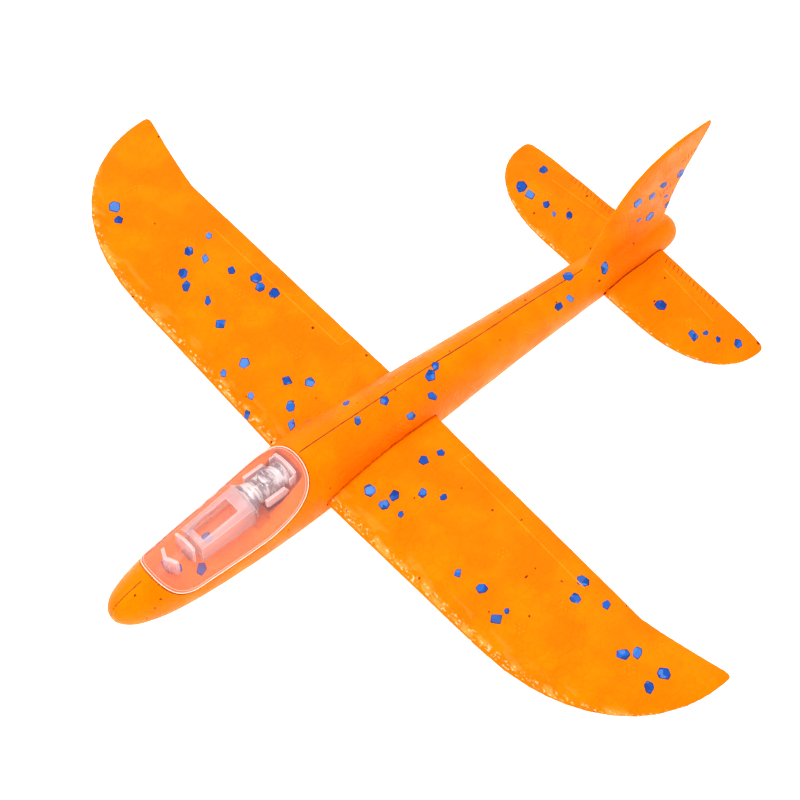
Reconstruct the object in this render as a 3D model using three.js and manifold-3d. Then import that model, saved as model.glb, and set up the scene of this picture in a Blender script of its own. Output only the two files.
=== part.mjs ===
// Foam hand glider with a removable cockpit lamp.
// Millimetres. +X is forward, +Y is port, +Z is up. The belly rests on Z = 0.
import * as THREE from 'three';
import { mergeVertices } from 'three/addons/utils/BufferGeometryUtils.js';
import Module from 'manifold-3d';

const wasm = await Module();
wasm.setup();

// ---------------------------------------------------------------- driving dimensions
const GAP = 0.3; // space left between pieces that touch
const SLIVER = 0.01; // edges shorter than this after a cut are closed up
const PAST = { low: 20, high: 60, side: 40 }; // how far a cutting tool reaches beyond the body it cuts
const TIP_CHORD = 1.2; // what is left of the chord at the very tip
// How the leading edge rounds into the tip, how the trailing edge sweeps there, and how much thinner it gets
const TIP_CURVE = { fullness: 2.2, bluntness: 0.45, sweep: 1.15, thinning: 0.55 };
// The usual four-digit aerofoil thickness: factors of the root, first, second, third and fourth powers
const AEROFOIL = [0.2969, -0.126, -0.3516, 0.2843, -0.1036];
const SECTION_STEPS = 12;
const FIN_STEPS = 8;

const WING = {
  halfSpan: 242, lead: 87, trail: 5, trailKink: 13, kinkAt: 187, trailTip: 2,
  tipStarts: 140, tipRound: 4, height: 22, dihedral: 0.073, thickness: 0.085, edge: 2.6, camber: 0.018,
};
const TAIL = {
  halfSpan: 99, lead: -127.5, trail: -175.5, trailKink: -173, kinkAt: 80, trailTip: -171,
  tipStarts: 38, tipRound: 4.5, height: 10, dihedral: 0, thickness: 0.085, edge: 2.2, camber: 0,
};
const WING_SLOT = { along: 0.6, above: 0.75, reach: 30 };
const TAIL_SLOT = { along: 0.4, above: 0.35, reach: 18 };

// Fuselage stations, nose to tail: [x, half width, bottom, top]
const FUSELAGE = [
  [216.0, 0.6, 22.2, 23.8],
  [214.4, 5.2, 17.6, 28.4],
  [207.0, 11.0, 11.8, 33.0],
  [191.0, 15.7, 6.0, 37.2],
  [170.0, 18.6, 2.2, 40.4],
  [143.0, 20.6, -0.4, 43.8],
  [119.0, 22.0, -1.0, 47.4],
  [95.0, 22.6, -1.0, 50.0],
  [70.0, 22.0, -1.0, 50.2],
  [40.0, 20.3, -1.0, 47.2],
  [0.0, 18.2, -1.0, 43.0],
  [-40.0, 15.8, -1.0, 38.4],
  [-80.0, 13.9, -1.0, 33.2],
  [-120.0, 12.6, -1.0, 28.2],
  [-160.0, 11.6, -1.0, 24.4],
  [-184.0, 10.6, -0.6, 21.8],
  [-191.4, 6.4, 4.4, 17.2],
  [-193.4, 0.6, 10.2, 11.4],
];
const RING_POINTS = 36;
const RINGS_PER_STATION = 3;

// Fin levels, root to top: [z, leading edge x, trailing edge x, thickness]
const FIN = [
  [14, -112, -184, 9],
  [24, -118, -185, 8.5],
  [34, -124, -188, 7.6],
  [46, -130, -193, 6.8],
  [58, -138, -200, 6.0],
  [68, -146, -206.5, 5.2],
  [76, -155, -212, 4.4],
  [82, -166, -215.4, 3.6],
  [84.8, -175, -216, 3.1],
  [86.4, -183.5, -215.2, 2.6],
  [87.1, -189, -213.6, 2.0],
  [87.4, -194, -211, 1.4],
];

const CANOPY_WALL = 1.2;
// The side line where the canopy sits on the foam. Each curve is two handles and an end, all [x, z].
const CANOPY_SEAT = {
  rear: 88, front: 190, rearTop: 52, high: 70, steep: 5,
  curves: [
    [[90.5, 43], [101, 33], [124, 28.4]],
    [[140, 26.2], [158, 26.4], [171, 25.3]],
    [[180, 24.8], [187.5, 32], [190, 39]],
  ],
};

// The canopy's ribs and lamp sit this far to port of the middle; a minus sign means starboard
const ASIDE = -2;
const POCKET = { rear: 92, front: 126.5, half: 10.8, wideFrom: 117, wideHalf: 13.4, bottom: 26.5 };
const LAMP = { z: 38.5, outer: 7.2, inner: 6.5, rear: 98.6, front: 117 };
const GROOVE = { starts: [102.6, 108.1, 113.4], depth: 0.35, slope: 0.5, floor: 0.6 };
const CAP = { thick: 1.5, chamfer: 0.5, plug: 1, slotHalf: 3.4, slotWide: 1.2, slotDeep: 0.6 };
const CELL = { radius: 5.8, thick: 4.9, pitch: 5.15, first: 101.2, pole: 3.9, step: 0.4, chamfer: 0.3 };
const SPRING = { rear: 100.05, front: 100.75, turns: 2.5, wide: 4.2, narrow: 2.6, wire: 0.18 };
const STRIP = {
  rear: 104, front: 117, half: 1.2, bottom: 44.5, thick: 0.25, tabRear: 116.7, tabFront: 117.2, tabLow: 41,
};
const DISC = { rear: 117.6, front: 118.4, radius: 5.2 };
const LED = { rear: 118.7, collar: 2.9, collarFront: 119.6, radius: 2.5, shoulder: 123.2, tip: 125.6 };
const BUTTON = { x: 108.8, radius: 4.2, top: 46.1, bottom: 45.3, boss: 45.6, collar: 1.1 };
const BEZEL = { halfWidth: 12.2, halfHeight: 6.6, front: 124, neckDown: 0.3, drop: 1.2, flare: 1.8, wall: 1 };
const BRACKET = {
  rear: 94.9, front: 96.7, low: 35, halfWidth: 8.8, hook: 0.9, hookFront: 99.6, hookLow: 37, hookHigh: 44,
};
const RAIL = {
  rear: 101.2, front: 116.6, inside: 8.6, outside: 10.4, low: 34.5, high: 41.5, cut: 2.5, nip: 1.6,
};
const SLEEVE = {
  rear: 124.5, front: 159.6, halfRear: 10.2, halfFront: 9.2, wall: 1.4, top: 1.8,
  windowRear: 132, windowFront: 156, windowHalf: 5.6, doorHalf: 7.4, doorTop: 41,
};
const MIDDLE_CLIP = {
  rear: 162.3, front: 163.9, port: 7.4, starboard: -9.2, pinHalf: 4, pinBottom: 21, pinTop: 34,
};
const FRONT_CLIP = {
  apex: 178.2, inner: 176, tip: 173, tipFront: 175, half: 6.6,
  pinRear: 175.3, pinFront: 177.3, pinHalf: 2.7, pinBottom: 21, pinTop: 32,
};
const BALLAST = { x: 180, radius: 4.5, bottom: 5, top: 18 };

// ---------------------------------------------------------------- finishes
const finish = (color, roughness, metalness = 0, opacity = 1) => new THREE.MeshStandardMaterial({
  color, roughness, metalness, opacity, transparent: opacity < 1,
});
const FOAM = finish('#ff8a00', 0.6);
const FROSTED = finish('#f7c2ab', 0.35, 0, 0.5);
const CLEAR = finish('#e8e9ee', 0.1, 0, 0.4);
const NICKEL = finish('#c9c9cc', 0.25, 1);
const BRASS = finish('#c7a45a', 0.35, 1);
const STEEL = finish('#8b8d90', 0.45, 1);
const BOARD = finish('#2f6b45', 0.6);

// ---------------------------------------------------------------- solids
function solid(geometry) {
  const bare = geometry.index ? geometry.toNonIndexed() : geometry.clone();
  bare.deleteAttribute('normal');
  bare.deleteAttribute('uv');
  const merged = mergeVertices(bare, 1e-4);
  const vertProperties = new Float32Array(merged.attributes.position.array);
  const triVerts = new Uint32Array(merged.index.array);
  const body = new wasm.Manifold(new wasm.Mesh({ numProp: 3, vertProperties, triVerts }));
  if (body.volume() > 0) return body;
  // The rings ran the other way round, so the faces are turned to point out.
  return new wasm.Manifold(new wasm.Mesh({ numProp: 3, vertProperties, triVerts: triVerts.reverse() }));
}

function toGeometry(body) {
  const mesh = body.simplify(SLIVER).getMesh();
  const geometry = new THREE.BufferGeometry();
  geometry.setAttribute('position', new THREE.BufferAttribute(mesh.vertProperties.slice(), 3));
  geometry.setIndex(new THREE.BufferAttribute(mesh.triVerts.slice(), 1));
  geometry.computeVertexNormals();
  return geometry;
}

// A closed skin through rings of points, with a fan over each end.
function loft(rings) {
  const count = rings[0].length;
  const points = rings.flat();
  const ends = [rings[0], rings[rings.length - 1]].map((ring) => {
    const centre = ring.reduce((sum, p) => sum.add(p), new THREE.Vector3()).divideScalar(count);
    return points.push(centre) - 1;
  });
  const faces = [];
  for (let r = 0; r < rings.length - 1; r += 1) {
    for (let i = 0; i < count; i += 1) {
      const a = r * count + i;
      const b = r * count + ((i + 1) % count);
      faces.push(a, b, b + count, a, b + count, a + count);
    }
  }
  const last = (rings.length - 1) * count;
  for (let i = 0; i < count; i += 1) {
    const next = (i + 1) % count;
    faces.push(ends[0], next, i, ends[1], last + i, last + next);
  }
  const geometry = new THREE.BufferGeometry().setFromPoints(points);
  geometry.setIndex(faces);
  return geometry;
}

function box(x0, x1, y0, y1, z0, z1) {
  const geometry = new THREE.BoxGeometry(x1 - x0, y1 - y0, z1 - z0);
  geometry.translate((x0 + x1) / 2, (y0 + y1) / 2, (z0 + z1) / 2);
  return solid(geometry);
}

// A turned piece on the lamp's axis; the profile is [x, radius] pairs.
function turned(profile, segments = 32, z = LAMP.z) {
  const geometry = new THREE.LatheGeometry(profile.map(([x, r]) => new THREE.Vector2(r, x)), segments);
  geometry.rotateZ(-Math.PI / 2);
  geometry.translate(0, 0, z);
  return solid(geometry);
}

function upright(x, y, radius, z0, z1, segments = 28) {
  const geometry = new THREE.CylinderGeometry(radius, radius, z1 - z0, segments);
  geometry.rotateX(Math.PI / 2);
  geometry.translate(x, y, (z0 + z1) / 2);
  return solid(geometry);
}

// A side outline in X and Z, carried across the glider from one Y to the other.
function sideCut(outline, y0, y1) {
  const geometry = new THREE.ExtrudeGeometry(outline, {
    depth: y1 - y0, bevelEnabled: false, curveSegments: 10,
  });
  geometry.rotateX(Math.PI / 2);
  geometry.translate(0, y1, 0);
  return solid(geometry);
}

// ---------------------------------------------------------------- flying surfaces
// One wing section, from the trailing edge over the top and back underneath.
function section(surface, y, alongGrow, aboveGrow) {
  const out = Math.min(Math.abs(y), surface.halfSpan);
  const past = Math.max(0, (out - surface.tipStarts) / (surface.halfSpan - surface.tipStarts));
  const round = (1 - past ** TIP_CURVE.fullness) ** TIP_CURVE.bluntness;
  const toe = surface.trailTip + surface.tipRound + TIP_CHORD;
  const lead = toe + (surface.lead - toe) * round + alongGrow;
  const toKink = Math.min(1, out / surface.kinkAt);
  const toTip = Math.max(0, (out - surface.kinkAt) / (surface.halfSpan - surface.kinkAt));
  const intoRound = Math.max(0, out - surface.halfSpan + surface.tipRound);
  const rounding = surface.tipRound - Math.sqrt(surface.tipRound ** 2 - intoRound ** 2);
  const trail = surface.trail + (surface.trailKink - surface.trail) * toKink
    + (surface.trailTip - surface.trailKink) * toTip ** TIP_CURVE.sweep + rounding - alongGrow;
  const chord = lead - trail;
  const tipThin = 1 - TIP_CURVE.thinning * past ** 3;
  const rise = surface.height + surface.dihedral * out;
  const powers = (s) => [Math.sqrt(s), s, s ** 2, s ** 3, s ** 4];
  const bulge = (s) => powers(s).reduce((sum, power, k) => sum + AEROFOIL[k] * power, 0);
  const half = (s) => tipThin * (chord * surface.thickness * 5 * bulge(s) + 0.5 * surface.edge * s);
  const arch = (s) => chord * surface.camber * 4 * s * (1 - s);
  const ring = [];
  for (let i = 0; i <= 2 * SECTION_STEPS; i += 1) {
    const side = i <= SECTION_STEPS ? 1 : -1;
    const s = 0.5 + 0.5 * Math.cos((Math.PI * i) / SECTION_STEPS);
    const z = rise + arch(s) + side * (half(s) + (s > 0 ? aboveGrow : 0));
    ring.push(new THREE.Vector3(lead - chord * s, y, z));
  }
  return ring;
}

function surfaceSolid(surface, stations, alongGrow = 0, aboveGrow = 0) {
  const spans = [...stations.slice(1).reverse().map((y) => -y), ...stations];
  return solid(loft(spans.map((y) => section(surface, y, alongGrow, aboveGrow))));
}

function tipStations(surface, inner) {
  const tip = surface.halfSpan - surface.tipStarts;
  const shares = [0, 0.2, 0.36, 0.46, 0.56, 0.66, 0.76, 0.84, 0.9];
  const ends = [1, 0.7, 0.45, 0.25, 0.1, 0.02];
  return [
    ...inner,
    ...shares.map((share) => surface.tipStarts + tip * share),
    ...ends.map((share) => surface.halfSpan - surface.tipRound * share),
  ];
}

const wing = surfaceSolid(WING, tipStations(WING, [0, 35, 90]));
const tailplane = surfaceSolid(TAIL, tipStations(TAIL, [0, 20]));
const wingSlot = surfaceSolid(WING, [0, WING_SLOT.reach], WING_SLOT.along, WING_SLOT.above);
const tailSlot = surfaceSolid(TAIL, [0, TAIL_SLOT.reach], TAIL_SLOT.along, TAIL_SLOT.above);

// ---------------------------------------------------------------- fuselage and fin
function hull(grow, flatBelly) {
  const spine = new THREE.CatmullRomCurve3(
    FUSELAGE.map(([x, w]) => new THREE.Vector3(x, w, 0)), false, 'catmullrom', 0.5);
  const edges = new THREE.CatmullRomCurve3(
    FUSELAGE.map(([x, , low, high]) => new THREE.Vector3(x, low, high)), false, 'catmullrom', 0.5);
  const steps = (FUSELAGE.length - 1) * RINGS_PER_STATION;
  const rings = [];
  for (let k = 0; k <= steps; k += 1) {
    const { x, y: halfWidth } = spine.getPoint(k / steps);
    const { y: low, z: high } = edges.getPoint(k / steps);
    const w = Math.max(0.3, halfWidth + grow);
    const h = Math.max(0.3, (high - low) / 2 + grow);
    const ring = [];
    for (let i = 0; i < RING_POINTS; i += 1) {
      const a = (2 * Math.PI * (i + 0.5)) / RING_POINTS;
      const z = (high + low) / 2 + h * Math.sin(a);
      ring.push(new THREE.Vector3(x, w * Math.cos(a), flatBelly ? Math.max(0, z) : z));
    }
    rings.push(ring.reverse());
  }
  return solid(loft(rings));
}

function finSolid() {
  const rings = FIN.map(([z, lead, trail, thick]) => {
    const ring = [];
    for (let i = 0; i < 2 * FIN_STEPS; i += 1) {
      const s = 0.5 - 0.5 * Math.cos((Math.PI * (i + 0.5)) / FIN_STEPS);
      const side = i < FIN_STEPS ? 1 : -1;
      const half = (thick / 2) * Math.min(1, 2 * Math.sqrt(s)) * (1 - 0.62 * s ** 2);
      ring.push(new THREE.Vector3(lead + (trail - lead) * s, side * half, z));
    }
    return ring.reverse();
  });
  return solid(loft(rings));
}

// The line where the canopy meets the foam, seen from the side, moved in by an inset all round.
function canopySeat(inset) {
  const { rear, front, rearTop, high, steep, curves } = CANOPY_SEAT;
  const moved = ([x, z]) => {
    if (x < rear + steep) return [x + inset, z];
    if (x > front - steep) return [x - inset, z];
    return [x, z + inset];
  };
  const outline = new THREE.Shape();
  outline.moveTo(rear + inset, high);
  outline.lineTo(rear + inset, rearTop);
  for (const [first, second, end] of curves) {
    outline.bezierCurveTo(...moved(first), ...moved(second), ...moved(end));
  }
  outline.lineTo(front - inset, high);
  outline.closePath();
  return sideCut(outline, -PAST.side, PAST.side);
}

function pocketSolid() {
  const { rear, front, half, wideFrom, wideHalf, bottom } = POCKET;
  return box(rear, front, ASIDE - half, ASIDE + half, bottom, PAST.high)
    .add(box(wideFrom, front, ASIDE - wideHalf, ASIDE + wideHalf, bottom, PAST.high));
}

const pinSlot = (rear, front, half) => box(
  rear - GAP, front + GAP, ASIDE - half - GAP, ASIDE + half + GAP, PAST.low, PAST.high);
const clipSlots = pinSlot(MIDDLE_CLIP.rear, MIDDLE_CLIP.front, MIDDLE_CLIP.pinHalf)
  .add(pinSlot(FRONT_CLIP.pinRear, FRONT_CLIP.pinFront, FRONT_CLIP.pinHalf));
const ballastBore = upright(BALLAST.x, 0, BALLAST.radius + GAP, -BALLAST.bottom, BALLAST.top + GAP);

const fuselage = hull(0, true)
  .add(finSolid())
  .subtract(canopySeat(0))
  .subtract(wingSlot)
  .subtract(tailSlot)
  .subtract(pocketSolid())
  .subtract(clipSlots)
  .subtract(ballastBore);

const ballast = upright(BALLAST.x, 0, BALLAST.radius, BALLAST.bottom, BALLAST.top);

// ---------------------------------------------------------------- canopy and its inner parts
const canopy = hull(0, false).subtract(hull(-CANOPY_WALL, false)).intersect(canopySeat(GAP));
const underSkin = hull(-CANOPY_WALL - GAP, false);
const aside = (body) => body.translate([0, ASIDE, 0]);

// A plan outline in X and Y, raised from one Z to another.
function planCut(corners, z0, z1) {
  const outline = new THREE.Shape(corners.map(([x, y]) => new THREE.Vector2(x, y)));
  const geometry = new THREE.ExtrudeGeometry(outline, { depth: z1 - z0, bevelEnabled: false });
  geometry.translate(0, 0, z0);
  return solid(geometry);
}

// A tapering frame that hangs from the canopy, with a plate over its rear part and an open window.
function sleeveSolid() {
  const { rear, front, halfRear, halfFront, wall, top } = SLEEVE;
  const taper = (x0, x1, half0, half1) => aside(planCut(
    [[x0, -half0], [x1, -half1], [x1, half1], [x0, half0]], PAST.low, PAST.high));
  const outer = taper(rear, front, halfRear, halfFront).intersect(underSkin).intersect(canopySeat(GAP));
  const inside = taper(rear + wall, front - wall, halfRear - wall, halfFront - wall)
    .intersect(hull(-CANOPY_WALL - GAP - top, false));
  const { windowRear, windowFront, windowHalf, doorHalf, doorTop } = SLEEVE;
  return outer
    .subtract(inside)
    .subtract(taper(windowRear, windowFront, windowHalf, windowHalf))
    .subtract(box(rear - wall, rear + 2 * wall, ASIDE - doorHalf, ASIDE + doorHalf, PAST.low, doorTop));
}

// An upright plate across the canopy with a pin that goes into the foam.
function middleClipSolid() {
  const { rear, front, port, starboard, pinHalf, pinBottom, pinTop } = MIDDLE_CLIP;
  const corner = (front - rear) / 2;
  const plate = aside(planCut([
    [rear, starboard], [front, starboard],
    [front, port - corner], [rear + corner, port], [rear, port - corner],
  ], PAST.low, PAST.high)).intersect(canopySeat(GAP));
  return plate.add(box(rear, front, ASIDE - pinHalf, ASIDE + pinHalf, pinBottom, pinTop))
    .intersect(underSkin);
}

// An upright chevron that points forward, with a pin that goes into the foam.
function frontClipSolid() {
  const { apex, inner, tip, tipFront, half } = FRONT_CLIP;
  const { pinRear, pinFront, pinHalf, pinBottom, pinTop } = FRONT_CLIP;
  const chevron = aside(planCut([
    [apex, 0], [tipFront, half], [tip, half], [inner, 0], [tip, -half], [tipFront, -half],
  ], PAST.low, PAST.high));
  return chevron.intersect(canopySeat(GAP))
    .add(box(pinRear, pinFront, ASIDE - pinHalf, ASIDE + pinHalf, pinBottom, pinTop))
    .intersect(underSkin);
}

// A flat strip with cut corners beside the lamp.
function railSolid(side) {
  const { rear, front, inside, outside, low, high, cut, nip } = RAIL;
  const rail = new THREE.Shape();
  rail.moveTo(rear, low + cut);
  rail.lineTo(rear + cut, low);
  rail.lineTo(front - nip, low);
  rail.lineTo(front, low + nip);
  rail.lineTo(front, high);
  rail.lineTo(rear + cut, high);
  rail.closePath();
  return aside(side > 0 ? sideCut(rail, inside, outside) : sideCut(rail, -outside, -inside))
    .intersect(underSkin);
}

// A bar behind the lamp whose ends are bent forward.
function bracketSolid() {
  const { rear, front, low, halfWidth, hook, hookFront, hookLow, hookHigh } = BRACKET;
  return aside(box(rear, front, -halfWidth, halfWidth, low, PAST.high)
    .add(box(rear, hookFront, -halfWidth, hook - halfWidth, hookLow, hookHigh))
    .add(box(rear, hookFront, halfWidth - hook, halfWidth, hookLow, hookHigh)))
    .intersect(underSkin);
}

// ---------------------------------------------------------------- lamp
function housingSolid() {
  const { rear, front, outer, inner } = LAMP;
  const { starts, depth, slope, floor } = GROOVE;
  const profile = [[rear, inner], [rear, outer]];
  for (const x of starts) {
    profile.push([x, outer], [x + slope, outer - depth]);
    profile.push([x + slope + floor, outer - depth], [x + 2 * slope + floor, outer]);
  }
  profile.push([front, outer], [front, inner], [rear, inner]);
  const boss = upright(BUTTON.x, 0, BUTTON.radius + BUTTON.collar, LAMP.z, BUTTON.boss);
  const bore = turned([[rear - 1, 0], [rear - 1, inner], [front + 1, inner], [front + 1, 0]]);
  const hole = upright(BUTTON.x, 0, BUTTON.radius + GAP, LAMP.z, PAST.high);
  return turned(profile).add(boss).subtract(bore).subtract(hole);
}

// An oval bell that flares from the front of the housing.
function bezelSolid() {
  const { halfWidth, halfHeight, front, neckDown, drop, flare, wall } = BEZEL;
  const start = LAMP.front + GAP;
  const oval = (x, w, h, zc) => Array.from({ length: 32 }, (_, i) => {
    const a = (2 * Math.PI * i) / 32;
    return new THREE.Vector3(x, w * Math.cos(a), zc + h * Math.sin(a));
  });
  const bell = (thin) => [0, 0.35, 0.65, 0.85, 1].map((u) => {
    const open = u ** flare;
    const w = LAMP.outer + (halfWidth - LAMP.outer) * open - thin;
    const h = LAMP.outer - neckDown + (halfHeight - LAMP.outer) * open - thin;
    return oval(start + (front - start) * u, w, h, LAMP.z - drop * open);
  });
  const inside = bell(wall);
  inside.unshift(inside[0].map((p) => p.clone().setX(start - 1)));
  inside.push(inside[inside.length - 1].map((p) => p.clone().setX(front + 1)));
  return solid(loft(bell(0))).subtract(solid(loft(inside)));
}

// The screw lid at the rear of the housing, with a plug inside it and a coin slot across it.
function capSolid() {
  const { rear, outer, inner } = LAMP;
  const { thick, chamfer, plug, slotHalf, slotWide, slotDeep } = CAP;
  const back = rear - thick;
  const body = turned([[back, 0], [back, outer - chamfer], [back + chamfer, outer],
    [rear - GAP, outer], [rear - GAP, inner - GAP], [rear + plug, inner - GAP], [rear + plug, 0]]);
  const half = slotWide / 2;
  return body.subtract(box(back - 1, back + slotDeep, -slotHalf, slotHalf, LAMP.z - half, LAMP.z + half));
}

function springSolid() {
  const { rear, front, turns, wide, narrow, wire } = SPRING;
  class Coil extends THREE.Curve {
    getPoint(t) {
      const a = 2 * Math.PI * turns * t;
      const r = wide + (narrow - wide) * t;
      return new THREE.Vector3(rear + (front - rear) * t, r * Math.cos(a), LAMP.z + r * Math.sin(a));
    }
  }
  const across = new THREE.Shape().absarc(0, 0, wire, 0, 2 * Math.PI);
  return new THREE.ExtrudeGeometry(across, {
    steps: 50, curveSegments: 6, bevelEnabled: false, extrudePath: new Coil(),
  });
}

function cellSolid(x) {
  const { radius, thick, pole, step, chamfer } = CELL;
  const front = x + thick;
  return turned([[x, 0], [x, pole - chamfer], [x + step, pole], [x + step, radius - step],
    [x + 2 * step, radius], [front - chamfer, radius], [front, radius - chamfer], [front, 0]], 28);
}

function discSolid() {
  return turned([[DISC.rear, 0], [DISC.rear, DISC.radius], [DISC.front, DISC.radius], [DISC.front, 0]], 28);
}

function ledSolid() {
  const { rear, collar, collarFront, radius, shoulder, tip } = LED;
  const profile = [[rear, 0], [rear, collar], [collarFront, collar]];
  profile.push([collarFront, radius], [shoulder, radius]);
  const domeSteps = 6;
  for (let i = 1; i < domeSteps; i += 1) {
    const a = (Math.PI / 2) * (i / domeSteps);
    profile.push([shoulder + (tip - shoulder) * Math.sin(a), radius * Math.cos(a)]);
  }
  profile.push([tip, 0]);
  return turned(profile, 24);
}

// A brass strip along the top of the cells, turned down at its front onto the board.
function stripSolid() {
  const { rear, front, half, bottom, thick, tabRear, tabFront, tabLow } = STRIP;
  return box(rear, front, -half, half, bottom, bottom + thick)
    .add(box(tabRear, tabFront, -half, half, tabLow, bottom + thick));
}

// ---------------------------------------------------------------- assembly
const glider = new THREE.Group();
glider.name = 'hand_glider';

function place(name, body, material) {
  const geometry = body.isBufferGeometry ? body.translate(0, ASIDE, 0) : toGeometry(body);
  const mesh = new THREE.Mesh(geometry, material.clone());
  mesh.name = name;
  glider.add(mesh);
}

place('fuselage', fuselage, FOAM);
place('wing', wing, FOAM);
place('tailplane', tailplane, FOAM);
place('nose_weight', ballast, STEEL);
place('canopy', canopy, FROSTED);
place('lamp_sleeve', sleeveSolid(), FROSTED);
place('middle_clip', middleClipSolid(), FROSTED);
place('front_clip', frontClipSolid(), FROSTED);
place('port_rail', railSolid(1), FROSTED);
place('starboard_rail', railSolid(-1), FROSTED);
place('rear_bracket', bracketSolid(), FROSTED);
place('lamp_housing', aside(housingSolid()), CLEAR);
place('lamp_bezel', aside(bezelSolid()), CLEAR);
place('battery_cap', aside(capSolid()), CLEAR);
place('push_button', upright(BUTTON.x, ASIDE, BUTTON.radius, BUTTON.bottom, BUTTON.top), CLEAR);
place('rear_contact_spring', springSolid(), NICKEL);
for (let i = 0; i < 3; i += 1) {
  place(`button_cell_${i + 1}`, aside(cellSolid(CELL.first + i * CELL.pitch)), NICKEL);
}
place('contact_strip', aside(stripSolid()), BRASS);
place('lamp_board', aside(discSolid()), BOARD);
place('led', aside(ledSolid()), CLEAR);

export default glider;
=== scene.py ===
import math
import random

import bmesh
import bpy
import numpy as np
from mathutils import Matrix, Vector, noise
from mathutils.bvhtree import BVHTree


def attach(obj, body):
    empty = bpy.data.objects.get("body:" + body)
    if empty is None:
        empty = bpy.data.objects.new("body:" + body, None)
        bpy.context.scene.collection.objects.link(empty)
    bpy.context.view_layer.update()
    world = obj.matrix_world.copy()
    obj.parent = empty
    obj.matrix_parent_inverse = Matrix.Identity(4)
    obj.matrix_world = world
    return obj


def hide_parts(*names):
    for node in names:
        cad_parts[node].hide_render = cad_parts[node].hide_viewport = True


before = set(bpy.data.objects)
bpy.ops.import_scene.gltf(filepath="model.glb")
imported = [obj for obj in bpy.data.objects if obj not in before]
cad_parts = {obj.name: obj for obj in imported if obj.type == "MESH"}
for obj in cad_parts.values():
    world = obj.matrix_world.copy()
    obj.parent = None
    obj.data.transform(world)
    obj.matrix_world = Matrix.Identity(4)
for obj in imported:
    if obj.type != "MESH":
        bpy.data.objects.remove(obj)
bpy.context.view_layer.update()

MM = 0.001

# ---------------------------------------------------------------- driving sizes, in millimetres
FOAM_VOXEL = 0.9          # grid the foam skins are rebuilt on
FIRST_ROUNDS = 2          # plain smoothing rounds that take the grid's steps away
FOAM_ROUNDS = 9           # then rounds that smooth without shrinking
GROW_BACK = -1.06         # the outward step of such a round, against an inward step of 1
BEAD_CELL = 5.2           # size of the expanded beads the foam is moulded from
CREASE_DEPTH = 0.05       # how far the joins between beads sink
WAVE_DEPTH = 0.12         # slow waviness of the moulded skin
CRINKLE_DEPTH = 0.28      # wrinkles along the wing's leading edge
BEAD_GROW = 1.16          # a bead is drawn this much larger than the size in its list
PITS = dict(fuselage=60, wing=64, tailplane=14)   # small pits where beads didn't fuse, painted dark for the shade in them
SLOT_CLEAR = 0.14         # how far the foam sinks where a wing slides in its slot
SLOT_ROOT = dict(wing=19, tail=11)   # how far out from the middle the slots reach
# Where the fuselage's own slot walls lie: x towards the tail or the nose, and heights
SLOT_WALLS = dict(wing_front=90, tail_front=-125, wing_low=15, tail_high=16, lowest=6, highest=36, level=0.6)
WING_STRETCH = (1, 1, 2.6)     # thin edges are rebuilt on a grid stretched this much
BODY_STRETCH = (1, 1.8, 1)
# The rounded corner between fin and fuselage, and the fuselage's top there as x and z
FIN_FILLET = dict(rear=-190, front=-112, half=9, reach=7.5, rounds=26, pull=0.6)
FIN_ROOT = dict(x=(-190, -160, -120), z=(19, 24.4, 28.2))

# The part of the foam pocket that is painted dark for the deep shade the lamp casts there
POCKET = dict(rear=99, front=114, half=8.2, aside=-2, low=26, high=45)

# The moulded lines that stand in for an aileron and an elevator, the same on both sides
AILERON = dict(inner=50, outer=155, hinge_inner=17, hinge_outer=23, trail=7)
ELEVATOR = dict(inner=21, outer=68, hinge_inner=-166, hinge_outer=-161)
# Steam vents, mirrored: x and distance from the middle
WING_VENTS = [(40, 60), (40, 110), (40, 155), (40, 205), (65, 150)]
TAIL_VENTS = [(-150, 60)]
FIN_SLITS = [(-196, 68), (-178, 51), (-189, 44)]

# Blue beads lie in loose groups. On a wing: middle x and y, how far the group spreads, count
WING_GROUPS = [
    (40, -125, 22, 30, 11), (60, -45, 25, 18, 6), (65, -195, 12, 10, 2), (75, -80, 10, 10, 2),
    (45, 45, 28, 18, 8), (65, 115, 12, 25, 4), (30, 160, 12, 12, 3), (35, 210, 8, 15, 4),
]
TAIL_GROUPS = [(-155, -60, 12, 22, 6), (-150, 60, 12, 32, 5)]
# On the fuselage: middle x, turn round it from port in degrees, spread in x, spread in turn, count
BODY_GROUPS = [(45, 90, 25, 45, 5), (-10, 70, 15, 50, 3), (-110, 75, 25, 50, 4)]
BAY_BEADS = dict(rear=132, front=184, half=11, count=4)
FIN_BEADS = dict(rear=-195, front=-150, low=32, high=62, count=8)
BEADS_APART = 6.5         # least distance between the middles of two beads in a group
BODY_AXIS = 17            # height of the line that fuselage beads are aimed at
LOOK_FROM = dict(above=300, below=-100, aside=60, round=100)   # where rays towards a skin start
# The camera looks at aim from this far off, turned from +X towards port and raised, in degrees
CAMERA = dict(aim=(18, 2, 34), distance=1366, turn=49.1, rise=56.9, lens=112.5)
HIDDEN_WING_BEADS = 34
HIDDEN_TAIL_BEADS = 11
HIDDEN_BODY_BEADS = 26
PAIR_SPREAD = 9           # how far the second of two hidden beads may lie from the first
SIDE_SLITS = dict(x=-171, first=19, pitch=3.2, count=14)   # along the tailplane's trailing edge
FIN_SLIT = dict(count=4, pitch=2.6, rise=0.5)
BODY_VENTS = [(-4, 14, 36), (30, 17, 36), (-186, 2, 36), (-178, 2, 66), (150, 20, 20), (-70, 10, 28)]
VENT_DOT = 1.3
VENT_DOTS = 6

# The parting seam: on top, round the nose in degrees, and along the belly
SEAM_TOP = dict(front=87.3, step=1.1, count=190, wander=0.35, turn=0.07, highest=60)
SEAM_NOSE = dict(middle=190, height=21, first=-78, step=4.6, count=34, rear=189.5, away=80)
SEAM_BELLY = dict(front=196, step=1.5, count=250)
# The painted shadow in the gap where a wing enters the fuselage
GAP = dict(step=1.2, rounds=3, lift=0.7, outside=0.15)

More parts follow.
